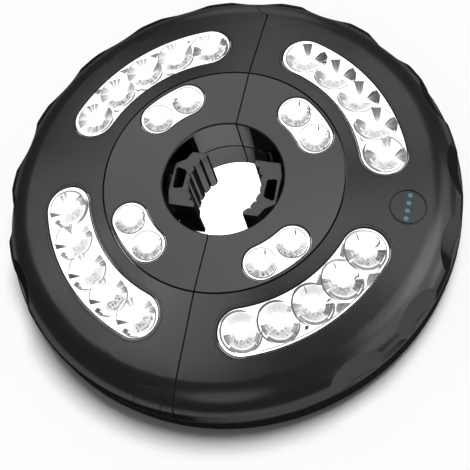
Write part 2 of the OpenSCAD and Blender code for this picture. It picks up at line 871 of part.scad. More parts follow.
module charge_lights() {
    color([0.2, 0.6, 0.75]) intersection() {
        face_band(power_x - 12, power_x + 12, 0.1, button_depth);
        charge_light_holes(1.2, 0);
    }
}

module power_switch() {
    color([0.2, 0.2, 0.2]) translate([power_x, power_y, board_z]) difference() {
        translate([-3, -3, 0]) cube([6, 6, switch_h]);
        translate([0, 0, 0.3]) cylinder(r = plunger_r + 0.1, h = switch_h);
    }
}

module switch_plunger() {
    color(steel) translate([power_x, power_y, board_z + 1.5])
        cylinder(r = plunger_r, h = power_flange_z - board_z - 1.55);
}

// J-shaped hook, lying along its pocket
module hook(side) {
    leg = (hook_w - hook_gap) / 2;
    bend_y = hook_l / 2 - hook_w / 2 - 0.2;
    pin_y = -hook_l / 2 + 3;
    color(charcoal) at_hook(side) difference() {
        union() {
            translate([-hook_w / 2, pin_y, hook_pin_z]) rotate([0, 90, 0]) cylinder(r = hook_barrel_r, h = hook_w);
            block(-hook_w / 2, hook_w / 2, pin_y, pin_y + 5, 0.6, 0.6 + hook_t);
            block(-hook_w / 2, -hook_w / 2 + leg, pin_y, bend_y, 0.6, 0.6 + hook_t);
            block(hook_w / 2 - leg, hook_w / 2, bend_y - 7, bend_y, 0.6, 0.6 + hook_t);
            translate([0, bend_y, 0.6]) difference() {
                cylinder(r = hook_w / 2, h = hook_t);
                translate([0, 0, -1]) cylinder(r = hook_gap / 2, h = hook_t + 2);
                translate([-hook_w, -2 * hook_w, -1]) cube([2 * hook_w, 2 * hook_w, hook_t + 2]);
            }
        }
        translate([-hook_w, pin_y, hook_pin_z]) rotate([0, 90, 0]) cylinder(r = hook_pin_r + pin_play, h = 2 * hook_w);
    }
}

module hook_pin(side) {
    color(steel) at_hook(side) translate([-hook_w / 2 - hook_gap_side - 1.2, -hook_l / 2 + 3, hook_pin_z])
        rotate([0, 90, 0]) cylinder(r = hook_pin_r, h = hook_w + 2 * hook_gap_side + 2.4);
}

module port_cover() {
    color([0.08, 0.08, 0.08]) at_port() union() {
        port_slab(port_floor + 0.1, port_floor + 1.7, cover_l - 2 * cover_gap, cover_h - 2 * cover_gap);
        port_slab(port_floor - 2.2, port_floor + 0.6, socket_w - 1.6, socket_h - 1.6);
        translate([port_floor + 1, -2.5, port_z + cover_h / 2 - cover_gap - 1.2]) cube([1.1, 5, 0.8]);
    }
}

// ---------- Inside ----------

module battery(side) {
    color([0.25, 0.45, 0.7]) on_side(side) translate([cell_x, 0, cell_z]) rotate([90, 0, 0]) {
        cylinder(r = cell_d / 2, h = cell_l, center = true);
        cylinder(r = 2.8, h = cell_l / 2 + 1.5);
    }
}

module charge_board() {
    color([0.15, 0.4, 0.25]) at_port()
        block(port_floor - 17.5, port_floor - port_block - 0.3, -12, 12,
              port_z - socket_h / 2 - board_t, port_z - socket_h / 2);
}

module charge_socket() {
    color(steel) at_port() difference() {
        port_slab(port_floor - 2.4 - socket_l, port_floor - 2.4, socket_w, socket_h);
        port_slab(port_floor - socket_l, port_floor, socket_w - 0.8, socket_h - 0.8);
    }
}

module case_screws(side) {
    color(steel) {
        posts(side, concat(case_posts, hub_posts), head_r, seat_z - head_h, seat_z);
        posts(side, concat(case_posts, hub_posts), screw_r, seat_z, seat_z + screw_l);
    }
}

module board_screws(side) {
    low = board_z - board_t;
    color(steel) {
        posts(side, board_posts, board_head_r, low - board_head_h, low);
        posts(side, board_posts, board_screw_r, low, low + board_screw_l);
    }
}

// ---------- Assembly ----------

front_shell(LEFT);  // front_shell_left
front_shell(RIGHT);  // front_shell_right
back_shell(LEFT);  // back_shell_left
back_shell(RIGHT);  // back_shell_right
hub_panel(LEFT);  // hub_panel_left
hub_panel(RIGHT);  // hub_panel_right
large_lens(135);  // large_lens_upper_left
large_lens(225);  // large_lens_lower_left
large_lens(45);  // large_lens_upper_right
large_lens(-45);  // large_lens_lower_right
small_lens(135);  // small_lens_upper_left
small_lens(225);  // small_lens_lower_left
small_lens(45);  // small_lens_upper_right
small_lens(-45);  // small_lens_lower_right
lamp_board(LEFT);  // lamp_board_left
lamp_board(RIGHT);  // lamp_board_right
lamps(LEFT);  // lamps_left
lamps(RIGHT);  // lamps_right
power_button();
charge_lights();
power_switch();
switch_plunger();
hinge_pin();
release_button();
latch_spring();
jaw(LEFT);  // jaw_left
jaw(RIGHT);  // jaw_right
jaw_spring(LEFT);  // jaw_spring_left
jaw_spring(RIGHT);  // jaw_spring_right
hook(LEFT);  // hook_left
hook(RIGHT);  // hook_right
hook_pin(LEFT);  // hook_pin_left
hook_pin(RIGHT);  // hook_pin_right
battery(LEFT);  // battery_left
battery(RIGHT);  // battery_right
charge_board();
charge_socket();
port_cover();
case_screws(LEFT);  // case_screws_left
case_screws(RIGHT);  // case_screws_right
board_screws(LEFT);  // board_screws_left
board_screws(RIGHT);  // board_screws_right
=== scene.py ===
import math
import random

import bmesh
import bpy
from mathutils import Matrix, Vector
from mathutils.bvhtree import BVHTree


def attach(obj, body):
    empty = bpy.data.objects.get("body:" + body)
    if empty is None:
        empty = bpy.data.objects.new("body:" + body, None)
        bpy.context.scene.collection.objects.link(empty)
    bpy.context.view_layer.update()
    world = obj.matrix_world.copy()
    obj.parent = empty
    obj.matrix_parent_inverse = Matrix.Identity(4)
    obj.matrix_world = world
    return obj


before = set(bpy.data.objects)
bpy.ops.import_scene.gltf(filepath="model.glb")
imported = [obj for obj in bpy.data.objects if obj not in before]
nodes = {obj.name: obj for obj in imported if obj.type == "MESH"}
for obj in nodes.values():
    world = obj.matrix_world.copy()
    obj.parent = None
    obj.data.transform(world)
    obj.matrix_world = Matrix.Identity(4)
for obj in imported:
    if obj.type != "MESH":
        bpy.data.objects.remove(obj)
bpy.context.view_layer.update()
scene = bpy.context.scene

MM = 0.001

# Sizes of the lamp face, in millimetres, as the CAD model has them
FACE_Z = 40
FACE_R = 89
RING_R = 53.2
EDGE_Z = 33.79
LENS_SET = 0.3
# Windows: radius of the lamps' circle, degrees between lamps, their number, a dish's radius, half the width
LARGE = {"r": 70.05, "pitch": 13, "count": 5, "dish": 8.3, "open": 10.4}
SMALL = {"r": 43.77, "pitch": 20.1, "count": 2, "dish": 6.8, "open": 8.3}
TURNS = {"upper_right": 45, "lower_right": -45, "upper_left": 135, "lower_left": 225}
OUTLINE_LIFT = 0.12
# A ray that hits the lens farther than this from its place has missed it
MISSED = 7
FACET_THICK = 0.06
# Small lenses are lit up to this radius, and dark where they pass under the ring groove
SMALL_LIT_R = 52.2
LIT_EDGE = 0.1
# Fine raised lines: their sides, and then each one's half thickness and how deep its middle lies in the face
LINE_SIDES = 8
TRIM_OFFSET = LARGE["open"] + 1.1
TRIM_THICK = 0.17
TRIM_SINK = 0.05
POWER_BUTTON = (80.2, 0.4)
BUTTON_RING_R = 7.95
BUTTON_RING_THICK = 0.16
BUTTON_RING_SINK = 0.03
BUTTON_RING_STEPS = 72
# The seam's seal: its two sides in x, its width, its depth under the top and its lowest point
SEAL_X = (-0.3, 0.27)
SEAL_WIDTH = 1.6
SEAL_DEEP = 0.9
SEAL_FOOT = 3
SEAL_STEPS = 40
# How far the seal's leg in the rim ends under the top, outside and inside
SEAL_LEG_DROP = (1.2, 2.6)
RAYS_FROM_Z = 60


# ---------- camera ----------

CAMERA = Vector((118.067, -191.633, 454.672)) * MM
RIGHT = Vector((0.96238, 0.22009, -0.15933)).normalized()
BACK = Vector((0.23222, -0.36181, 0.90286))
BACK = (BACK - RIGHT * BACK.dot(RIGHT)).normalized()
UP = BACK.cross(RIGHT)


def make_camera():
    data = bpy.data.cameras.new("camera")
    data.sensor_width = 36
    data.lens = 83.46
    data.clip_start = 0.02
    data.clip_end = 20
    camera = bpy.data.objects.new("camera", data)
    scene.collection.objects.link(camera)
    turn = Matrix((RIGHT, UP, BACK)).transposed().to_4x4()
    camera.matrix_world = Matrix.Translation(CAMERA) @ turn
    scene.camera = camera


make_camera()


# ---------- node helpers ----------

class Shade:
    """A material and its nodes."""

    def __init__(self, name):
        self.material = bpy.data.materials.new(name)
        self.material.use_nodes = True
        self.tree = self.material.node_tree
        self.tree.nodes.clear()
        self.output = self.tree.nodes.new("ShaderNodeOutputMaterial")

    def add(self, kind, **values):
        node = self.tree.nodes.new(kind)
        for key, value in values.items():
            setattr(node, key, value)
        return node

    def link(self, a, b):
        self.tree.links.new(a, b)

    def place(self):
        return self.add("ShaderNodeTexCoord").outputs["Object"]

    def noise(self, scale, detail=2, rough=0.5, vector=None):
        node = self.add("ShaderNodeTexNoise")
        node.inputs["Scale"].default_value = scale
        node.inputs["Detail"].default_value = detail
        node.inputs["Roughness"].default_value = rough
        self.link(vector if vector is not None else self.place(), node.inputs["Vector"])
        return node.outputs["Fac"]

    def ramp(self, value, stops):
        node = self.add("ShaderNodeValToRGB")
        items = node.color_ramp.elements
        items[0].position, items[0].color = stops[0][0], (*stops[0][1], 1)
        items[1].position, items[1].color = stops[-1][0], (*stops[-1][1], 1)
        for place, colour in stops[1:-1]:
            item = items.new(place)
            item.color = (*colour, 1)
        self.link(value, node.inputs[0])
        return node.outputs[0]

    def span(self, value, low, high, out_low, out_high):
        node = self.add("ShaderNodeMapRange")
        for key, number in zip(("From Min", "From Max", "To Min", "To Max"), (low, high, out_low, out_high)):
            node.inputs[key].default_value = number
        self.link(value, node.inputs[0])
        return node.outputs[0]

    def bump(self, height, strength, distance, normal=None):
        node = self.add("ShaderNodeBump")
        node.inputs["Strength"].default_value = strength
        node.inputs["Distance"].default_value = distance
        self.link(height, node.inputs["Height"])
        if normal is not None:
            self.link(normal, node.inputs["Normal"])
        return node.outputs[0]

    def round_edges(self, radius):
        node = self.add("ShaderNodeBevel", samples=4)
        node.inputs["Radius"].default_value = radius
        return node.outputs[0]

    def multiply(self, colour, factor):
        """A colour times another one, which is a socket or three numbers."""
        node = self.add("ShaderNodeMix", data_type="RGBA", blend_type="MULTIPLY")
        node.inputs[0].default_value = 1
        self.link(colour, node.inputs[6])
        if isinstance(factor, tuple):
            node.inputs[7].default_value = (*factor, 1)
        else:
            self.link(factor, node.inputs[7])
        return node.outputs[2]


def plastic(name, tone, rough, grain=2600, edge=0.0003, tint=(1, 1, 1.02)):
    """Moulded plastic. Its gloss fades at a grazing look, where the pale floor would wash it out."""
    s = Shade(name)
    shader = s.add("ShaderNodeBsdfPrincipled")
    low = [tone * 0.94 * t for t in tint]
    high = [tone * 1.06 * t for t in tint]
    s.link(s.ramp(s.noise(900, 4, 0.6), [(0.3, low), (0.7, high)]), shader.inputs["Base Color"])
    s.link(s.span(s.noise(700, 2), 0.3, 0.7, rough - 0.012, rough + 0.012), shader.inputs["Roughness"])
    edges = s.round_edges(edge) if edge else None
    s.link(s.bump(s.noise(grain, 2), 0.3, 0.000012, edges), shader.inputs["Normal"])
    facing = s.add("ShaderNodeLayerWeight").outputs["Facing"]
    s.link(s.span(facing, 0.3, 0.62, 0.5, 0), shader.inputs["Specular IOR Level"])
    s.link(shader.outputs[0], s.output.inputs[0])
    return s.material


def metal(name, tone, rough, scratch=1400):
    s = Shade(name)
    shader = s.add("ShaderNodeBsdfPrincipled")
    shader.inputs["Metallic"].default_value = 1
    low, high = [t * 0.85 for t in tone], [min(1, t * 1.1) for t in tone]
    s.link(s.ramp(s.noise(scratch, 4, 0.7), [(0.3, low), (0.7, high)]), shader.inputs["Base Color"])
    worn = s.span(s.noise(scratch * 0.7, 3), 0.3, 0.7, rough - 0.06, rough + 0.06)
    s.link(worn, shader.inputs["Roughness"])
    dents = s.bump(s.noise(scratch * 1.5, 2), 0.25, 0.00001, s.round_edges(0.0002))
    s.link(dents, shader.inputs["Normal"])
    s.link(shader.outputs[0], s.output.inputs[0])
    return s.material


def glow(name, low, high, strength, scale=500, base=0.8, lit_radius=None):
    """A lit, clear material. Beyond lit_radius from the middle axis it gives no light and is near black."""
    s = Shade(name)
    shader = s.add("ShaderNodeBsdfPrincipled")
    shader.inputs["Roughness"].default_value = 0.25
    s.link(s.ramp(s.noise(scale, 3, 0.6), [(0.35, low), (0.65, high)]), shader.inputs["Emission Color"])
    if lit_radius:
        flat = s.add("ShaderNodeVectorMath", operation="MULTIPLY")
        flat.inputs[1].default_value = (1, 1, 0)
        s.link(s.place(), flat.inputs[0])
        length = s.add("ShaderNodeVectorMath", operation="LENGTH")
        s.link(flat.outputs[0], length.inputs[0])
        edge = (length.outputs["Value"], lit_radius * MM, (lit_radius + LIT_EDGE) * MM)
        s.link(s.span(*edge, strength, 0), shader.inputs["Emission Strength"])
        s.link(s.span(*edge, base, 0.01), shader.inputs["Base Color"])
    else:
        shader.inputs["Emission Strength"].default_value = strength
        body = [(0.35, [c * base for c in low]), (0.65, [c * base for c in high])]
        s.link(s.ramp(s.noise(scale, 3, 0.6), body), shader.inputs["Base Color"])
    s.link(shader.outputs[0], s.output.inputs[0])
    return s.material


def painted_reflection_glass(name):
    """Facets of the lamps' optics: each point's tone is kept in the mesh. The tones are painted reflections
    of the lit cups, near white where they glow and grey where they mirror the dark room.
    """
    s = Shade(name)
    shader = s.add("ShaderNodeBsdfPrincipled")
    tone = s.add("ShaderNodeAttribute", attribute_name="tone").outputs["Color"]
    streak = s.ramp(s.noise(2200, 3, 0.7), [(0.3, (0.8, 0.8, 0.8)), (0.7, (1.12, 1.12, 1.12))])
    lit = s.multiply(tone, streak)
    s.link(lit, shader.inputs["Emission Color"])
    s.link(s.multiply(lit, (0.3, 0.3, 0.3)), shader.inputs["Base Color"])
    shader.inputs["Emission Strength"].default_value = 0.8
    shader.inputs["Roughness"].default_value = 0.3
    shader.inputs["Specular IOR Level"].default_value = 0.1
    s.link(shader.outputs[0], s.output.inputs[0])
    return s.material


FACE = plastic("front_plastic", 0.012, 0.22)
HUB = plastic("hub_plastic", 0.012, 0.24)
BACK_CASE = plastic("back_plastic", 0.011, 0.25)
JAW = plastic("jaw_rubber", 0.014, 0.3, grain=3400, edge=0.0004)
TRIM = plastic("trim_plastic", 0.014, 0.2, edge=0)
BUTTON = plastic("button_plastic", 0.014, 0.24)
HOOK = plastic("hook_plastic", 0.014, 0.28)
PORT = plastic("port_rubber_dark", 0.014, 0.4)
STEEL = metal("steel_plain", (0.56, 0.56, 0.57), 0.3)
SWITCH = plastic("switch_plastic", 0.05, 0.4)
BOARD = plastic("board_white", 0.62, 0.5, tint=(0.95, 1, 0.96))
CELL = plastic("cell_wrap", 0.12, 0.35, tint=(0.4, 0.75, 1.2))
LENS = glow("lens_lit", (0.93, 0.93, 0.94), (1, 1, 1), 0.8)
SMALL_LENS = glow("small_lens_lit", (0.93, 0.93, 0.94), (1, 1, 1), 0.8, lit_radius=SMALL_LIT_R)
CHIP = glow("chip_lit", (1, 0.93, 0.7), (1, 0.98, 0.86), 1.5)
CHARGE = glow("charge_light_lit", (0.035, 0.15, 0.19), (0.05, 0.19, 0.23), 0.6, scale=900, base=0.5)
PAINTED_REFLECTIONS = painted_reflection_glass("optic_painted_reflections")


# ---------- CAD nodes: finishes and smooth curves ----------

FINISHES = (
    ("front_shell", FACE), ("hub_panel", HUB), ("back_shell", BACK_CASE), ("power_button", BUTTON),
    ("release_button", BUTTON), ("port_cover", PORT), ("jaw_spring", STEEL), ("latch_spring", STEEL),
    ("jaw_", JAW), ("hook_pin", STEEL), ("hook_", HOOK), ("hinge_pin", STEEL), ("case_screws", STEEL),
    ("board_screws", STEEL), ("large_lens", LENS), ("small_lens", SMALL_LENS), ("lamp_board", BOARD),
    ("lamps", CHIP), ("charge_lights", CHARGE), ("charge_board", BOARD), ("charge_socket", STEEL),
    ("battery", CELL), ("power_switch", SWITCH), ("switch_plunger", SWITCH),
)


def finish_of(name):
    for start, material in FINISHES:
        if name.startswith(start):
            return material
    return SWITCH


def make_smoother(angle):
    """Welds a CAD mesh's faces and shades its curves smooth, with edges over the angle left sharp."""
    group = bpy.data.node_groups.new("smooth_curves", "GeometryNodeTree")
    group.interface.new_socket("Geometry", in_out="INPUT", socket_type="NodeSocketGeometry")
    group.interface.new_socket("Geometry", in_out="OUTPUT", socket_type="NodeSocketGeometry")
    add, link = group.nodes.new, group.links.new
    start, end = add("NodeGroupInput"), add("NodeGroupOutput")
    weld = add("GeometryNodeMergeByDistance")
    weld.inputs["Distance"].default_value = 0.000002
    drop = add("GeometryNodeRemoveAttribute")
    drop.inputs["Name"].default_value = "custom_normal"
    soft = add("GeometryNodeSetShadeSmooth")
    soft.domain = "FACE"
    sharp = add("GeometryNodeSetShadeSmooth")
    sharp.domain = "EDGE"
    sharp.inputs["Shade Smooth"].default_value = False
    bend = add("GeometryNodeInputMeshEdgeAngle")
    over = add("FunctionNodeCompare")
    over.data_type = "FLOAT"
    over.operation = "GREATER_THAN"
    over.inputs[1].default_value = math.radians(angle)
    link(start.outputs[0], weld.inputs[0])
    link(weld.outputs[0], drop.inputs[0])
    link(drop.outputs[0], soft.inputs[0])
    link(soft.outputs[0], sharp.inputs[0])
    link(bend.outputs[0], over.inputs[0])
    link(over.outputs[0], sharp.inputs["Selection"])
    link(sharp.outputs[0], end.inputs[0])
    return group


SMOOTHER = make_smoother(14)


def finish_nodes():
    for name, node in nodes.items():
        material = finish_of(name)
        for slot in node.material_slots:
            slot.material = material
        if not node.material_slots:
            node.data.materials.append(material)
        node.modifiers.new("smooth_curves", "NODES").node_group = SMOOTHER
        node.modifiers.new("keep_flats", "WEIGHTED_NORMAL").keep_sharp = True


finish_nodes()


# ---------- pieces ----------

def add_piece(name, mesh, material, body):
    """Puts a mesh in the scene as a piece that rides on a body."""
    mesh.materials.append(material)
    piece = bpy.data.objects.new(name, mesh)
    scene.collection.objects.link(piece)
    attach(piece, body)
    return piece


def mesh_of(name, shape):
    """An object's mesh from a bmesh, which is used up."""
    mesh = bpy.data.meshes.new(name)
    shape.to_mesh(mesh)
    shape.free()
    return mesh


def surface(name):
    """A node's surface, to cast rays on."""
    return BVHTree.FromObject(nodes[name], bpy.context.evaluated_depsgraph_get())


# ---------- the lamps' optics: painted reflections on the lit lenses ---

def linear(tone):
    """The scene's linear value of a tone from 0 to 255."""
    c = tone / 255
    return c / 12.92 if c <= 0.04045 else ((c + 0.055) / 1.055) ** 2.4


def face_z(r):
    """Height of the face at a radius: level inside the ring groove, sloping down outside."""
    return FACE_Z - max(r - RING_R, 0) * (FACE_Z - EDGE_Z) / (FACE_R - RING_R)


def plane_axes():
    """Level directions that show as right and up in the photograph."""
    a, b, c, d = RIGHT.x, RIGHT.y, UP.x, UP.y
    scale = a * d - b * c
    right = Vector((d / scale, -c / scale, 0)).normalized()
    up = Vector((-b / scale, a / scale, 0)).normalized()
    return right, up


PLANE_RIGHT, PLANE_UP = plane_axes()


def window_path(kind, turn, steps=60):
    """Points and outward directions of the line through a window's lamps, all the way round."""
    spread = math.radians(kind["pitch"] * (kind["count"] - 1) / 2)
    mid, r = math.radians(turn), kind["r"]
    path = []
    for k in range(steps):
        a = mid + spread - 2 * spread * k / steps
        path.append(((r * math.cos(a), r * math.sin(a)), (math.cos(a), math.sin(a))))
    low = mid - spread
    for k in range(steps // 2):
        a = low - math.pi * k / (steps // 2)
        path.append(((r * math.cos(low), r * math.sin(low)), (math.cos(a), math.sin(a))))
    for k in range(steps):
        a = low + 2 * spread * k / steps
        path.append(((r * math.cos(a), r * math.sin(a)), (-math.cos(a), -math.sin(a))))
    high = mid + spread
    for k in range(steps // 2):
        a = high + math.pi - math.pi * k / (steps // 2)
        path.append(((r * math.cos(high), r * math.sin(high)), (math.cos(a), math.sin(a))))
    return path


class Optics:
    """Facets laid on one lens plate, whose tones are painted reflections of the lit cups. A place is given in
    dish radii, right and up from a lamp's middle.
    """

    def __init__(self, name, kind, turn, seed):
        self.name, self.kind, self.turn = name, kind, turn
        self.surface = surface(name)
        self.points, self.faces, self.tones = [], [], []
        self.random = random.Random(seed)

    def middle(self, lamp):
        angle = math.radians(self.turn + self.kind["pitch"] * (lamp - (self.kind["count"] - 1) / 2))
        return Vector((math.cos(angle), math.sin(angle), 0)) * self.kind["r"]

    def on_lens(self, lamp, u, v, lift):
        """The point of the lens that the photograph shows at a place, lifted towards the camera."""
        flat = self.middle(lamp) + (PLANE_RIGHT * u + PLANE_UP * v) * self.kind["dish"]
        flat.z = face_z(math.hypot(flat.x, flat.y)) - LENS_SET
        way = (flat * MM - CAMERA).normalized()
        hit = self.surface.ray_cast(CAMERA, way)[0]
        if hit is None or (hit / MM - flat).length > MISSED:
            hit = flat * MM
        return hit - way * lift * MM

    def put(self, lamp, u, v, lift, tone):
        self.points.append(self.on_lens(lamp, u, v, lift))
        self.tones.append(linear(min(255, tone)))

    def join(self, first, rows, width):
        """Faces between rows of points, each width points long."""
        for row in range(rows - 1):
            for k in range(width - 1):
                a = first + row * width + k
                self.faces.append((a, a + 1, a + 1 + width, a + width))

    def marks(self, columns, streak):
        """A change of tone for each column of a facet."""
        return [1 + self.random.uniform(-streak, streak) for k in range(columns + 1)]

    def strip(self, lamp, rows, columns=6, streak=0.1, steps=4, lift=0.16):
        """rows: (u1, v1, u2, v2, tone) from the outer end in; each row is a line across the facet."""
        marks = self.marks(columns, streak)
        fine = []
        for a, b in zip(rows, rows[1:]):
            for k in range(steps):
                fine.append([p + (q - p) * k / steps for p, q in zip(a, b)])
        fine.append(list(rows[-1]))
        first = len(self.points)
        for u1, v1, u2, v2, tone in fine:
            for k in range(columns + 1):
                t = k / columns
                self.put(lamp, u1 + (u2 - u1) * t, v1 + (v2 - v1) * t, lift, tone * marks[k])
        self.join(first, len(fine), columns + 1)

    def arc(self, lamp, radius, width, start, end, tone, middle=(0, 0), end_tone=None, lift=0.2):
        """A thin line of painted reflection round a lamp. start and end are clock angles in degrees."""
        count = max(2, int(abs(end - start) / 8))
        rows = []
        for k in range(count + 1):
            t = k / count
            a = math.radians(start + (end - start) * t)
            half = width / 2 * math.sin(math.pi * min(1, max(0.12, min(t, 1 - t) * 4)) / 2)
            s, c = math.sin(a), math.cos(a)
            shade = tone if end_tone is None else tone + (end_tone - tone) * t
            rows.append((middle[0] + (radius - half) * s, middle[1] + (radius - half) * c,
                         middle[0] + (radius + half) * s, middle[1] + (radius + half) * c, shade))
        self.strip(lamp, rows, columns=2, streak=0, steps=1, lift=lift)

    def line(self, lamp, path, width, tone, lift=0.24):
        """A thin line through (u, v) points."""
        rows = []
        for k, (u, v) in enumerate(path):
            a, b = path[max(0, k - 1)], path[min(len(path) - 1, k + 1)]
            length = math.hypot(b[0] - a[0], b[1] - a[1])
            nu, nv = -(b[1] - a[1]) / length * width / 2, (b[0] - a[0]) / length * width / 2
            end = 0.4 if k in (0, len(path) - 1) else 1
            rows.append((u - nu * end, v - nv * end, u + nu * end, v + nv * end, tone))
        self.strip(lamp, rows, columns=1, streak=0, steps=1, lift=lift)

    def sector(self, lamp, r_out, r_in, start, end, tone_out, tone_in, columns=6, streak=0.12):
        """A facet of painted reflection between two radii and two clock angles in degrees."""
        marks = self.marks(columns, streak)
        first = len(self.points)
        steps = 3
        for row in range(steps + 1):
            t = row / steps
            r, tone = r_out + (r_in - r_out) * t, tone_out + (tone_in - tone_out) * t
            for k in range(columns + 1):
                turn = math.radians(start + (end - start) * k / columns)
                self.put(lamp, r * math.sin(turn), r * math.cos(turn), 0.16, tone * marks[k])
        self.join(first, steps + 1, columns + 1)

    def crescent(self, lamp, r_in, r_out, start, end, dark, streak=0.5):
        """A mottled band of painted reflection that fades out at all its edges."""
        count = int((end - start) / 6)
        steps = 4
        first = len(self.points)
        for k in range(count + 1):
            t = k / count
            a = math.radians(start + (end - start) * t)
            mark = 1 + self.random.uniform(-streak, streak)
            for row in range(steps + 1):
                w = row / steps
                r = r_in + (r_out - r_in) * w
                depth = math.sin(math.pi * t) ** 0.6 * math.sin(math.pi * min(1, 0.12 + w * 0.7)) * mark
                self.put(lamp, r * math.sin(a), r * math.cos(a), 0.1, max(60, 253 - (253 - dark) * depth))
        self.join(first, count + 1, steps + 1)

    def speckle(self, lamp, count, r_in, r_out, start, end, dark, pale, size=0.07):
        """Small random marks of painted reflection between two radii and two clock angles."""
        for k in range(count):
            r = self.random.uniform(r_in, r_out)
            a = math.radians(self.random.uniform(start, end))
            u, v = r * math.sin(a), r * math.cos(a)
            long, thin = size * self.random.uniform(0.7, 1.6), size * self.random.uniform(0.4, 0.8)
            tilt = a + self.random.uniform(-0.5, 0.5)
            du, dv = math.sin(tilt), math.cos(tilt)
            tone = self.random.uniform(dark, pale)
            rows = [(u - du * long, v - dv * long, u - du * long + dv * 0.01, v - dv * long, tone),
                    (u - dv * thin, v + du * thin, u + dv * thin, v - du * thin, tone),
                    (u + du * long, v + dv * long, u + du * long + dv * 0.01, v + dv * long, tone)]
            self.strip(lamp, rows, columns=1, streak=0, steps=1, lift=0.22)

    def outline(self, offset, width, tone, start=0, end=1):
        """A thin band along the window's edge: in a dark tone it is painted shade at the opening, in a pale
        tone a painted reflection line. start and end are parts of the way round.
        """
        path = window_path(self.kind, self.turn)
        count = len(path)
        first = len(self.points)
        for k in range(int(start * count), int(end * count) + 1):
            (x, y), (nx, ny) = path[k % count]
            for d in (offset - width / 2, offset + width / 2):
                px, py = x + nx * d, y + ny * d
                z = face_z(math.hypot(px, py)) - LENS_SET + OUTLINE_LIFT
                self.points.append(Vector((px, py, z)) * MM)
                self.tones.append(linear(tone))
        for k in range(first, len(self.points) - 2, 2):
            self.faces.append((k, k + 2, k + 3, k + 1))

    def build(self, body):
        name = self.name.replace("lens", "optics")
        mesh = bpy.data.meshes.new(name)
        mesh.from_pydata([tuple(p) for p in self.points], [], self.faces)
        layer = mesh.attributes.new("tone", "FLOAT_COLOR", "POINT")
        for item, tone in zip(layer.data, self.tones):
            item.color = (tone, tone, tone, 1)
        piece = add_piece(name, mesh, PAINTED_REFLECTIONS, body)
        thick = piece.modifiers.new("facet_thickness", "SOLIDIFY")
        thick.thickness = FACET_THICK * MM
        thick.offset = 0


def trefoil(o, lamp, wedge, right, left):
    """Three facets with the painted reflection of the dark room. wedge, right and left are their tones."""
    o.strip(lamp, [(-0.13, 0.99, 0.43, 1.02, wedge), (-0.07, 0.78, 0.39, 0.8, wedge * 1.03),
                   (-0.02, 0.5, 0.34, 0.5, wedge * 1.22), (0.04, 0.26, 0.3, 0.26, wedge * 1.6),
                   (0.08, 0.06, 0.25, 0.06, 250)], columns=8, streak=0.16)
    o.strip(lamp, [(1.16, 0.2, 1.19, -0.05, right), (1.08, 0.42, 1.12, -0.3, right * 0.92),
                   (0.97, 0.38, 0.98, -0.42, right * 1.05), (0.8, 0.2, 0.82, -0.32, right * 1.3),
                   (0.64, 0.02, 0.66, -0.22, right * 1.7), (0.5, -0.1, 0.52, -0.14, 248)],
            columns=7, streak=0.13)
    o.line(lamp, [(0.52, -0.1), (0.7, 0.12), (0.88, 0.35), (1.07, 0.46)], 0.07, right * 0.75)
    o.line(lamp, [(1.07, 0.46), (1.2, 0.1), (1.14, -0.32), (1.0, -0.54)], 0.07, right * 0.85)
    o.strip(lamp, [(-0.99, 0.02, -0.93, -0.3, left * 1.15), (-0.88, 0.22, -0.8, -0.58, left),
                   (-0.68, 0.18, -0.66, -0.66, left * 1.08), (-0.5, 0.06, -0.5, -0.42, left * 1.35),
                   (-0.34, -0.06, -0.36, -0.18, 250)], columns=7, streak=0.12)


# Each draw function paints one window's reflections as facet tones, one set for each lamp.
def draw_upper_right(o):
    tones = {4: (106, 84, 178), 3: (120, 98, 150), 2: (128, 92, 172), 1: (118, 116, 142), 0: (180, 130, 138)}
    for lamp in range(5):
        trefoil(o, lamp, *tones[lamp])
        o.crescent(lamp, 0.45, 1.0, 120, 245, 215)
        o.arc(lamp, 1.03, 0.085, 186, 272, 170, end_tone=120)
        o.arc(lamp, 1.02, 0.07, 122, 186, 190)
        o.speckle(lamp, 16, 0.5, 0.92, 125, 225, 160, 225, size=0.06)
    o.arc(4, 1.0, 0.07, 250, 335, 160)
    o.arc(3, 1.02, 0.06, 300, 350, 180)
    o.arc(1, 1.06, 0.08, 200, 268, 125)
    o.arc(1, 1.1, 0.07, 25, 62, 195)
    o.arc(0, 1.04, 0.11, 195, 305, 96, end_tone=120)
    o.arc(0, 1.1, 0.08, 8, 80, 135, end_tone=170)
    o.arc(0, 1.14, 0.07, 80, 165, 165, end_tone=200)
    o.sector(0, 0.88, 0.64, 150, 205, 180, 225, columns=12, streak=0.16)
    o.line(0, [(-1.2, 0.98), (-1.08, 0.7), (-0.92, 0.8)], 0.09, 120)
    o.line(1, [(0.42, 1.1), (0.8, 1.14), (1.15, 0.95)], 0.07, 190)
    o.outline(o.kind["open"] - 1.5, 0.3, 170, start=0.33, end=0.62)


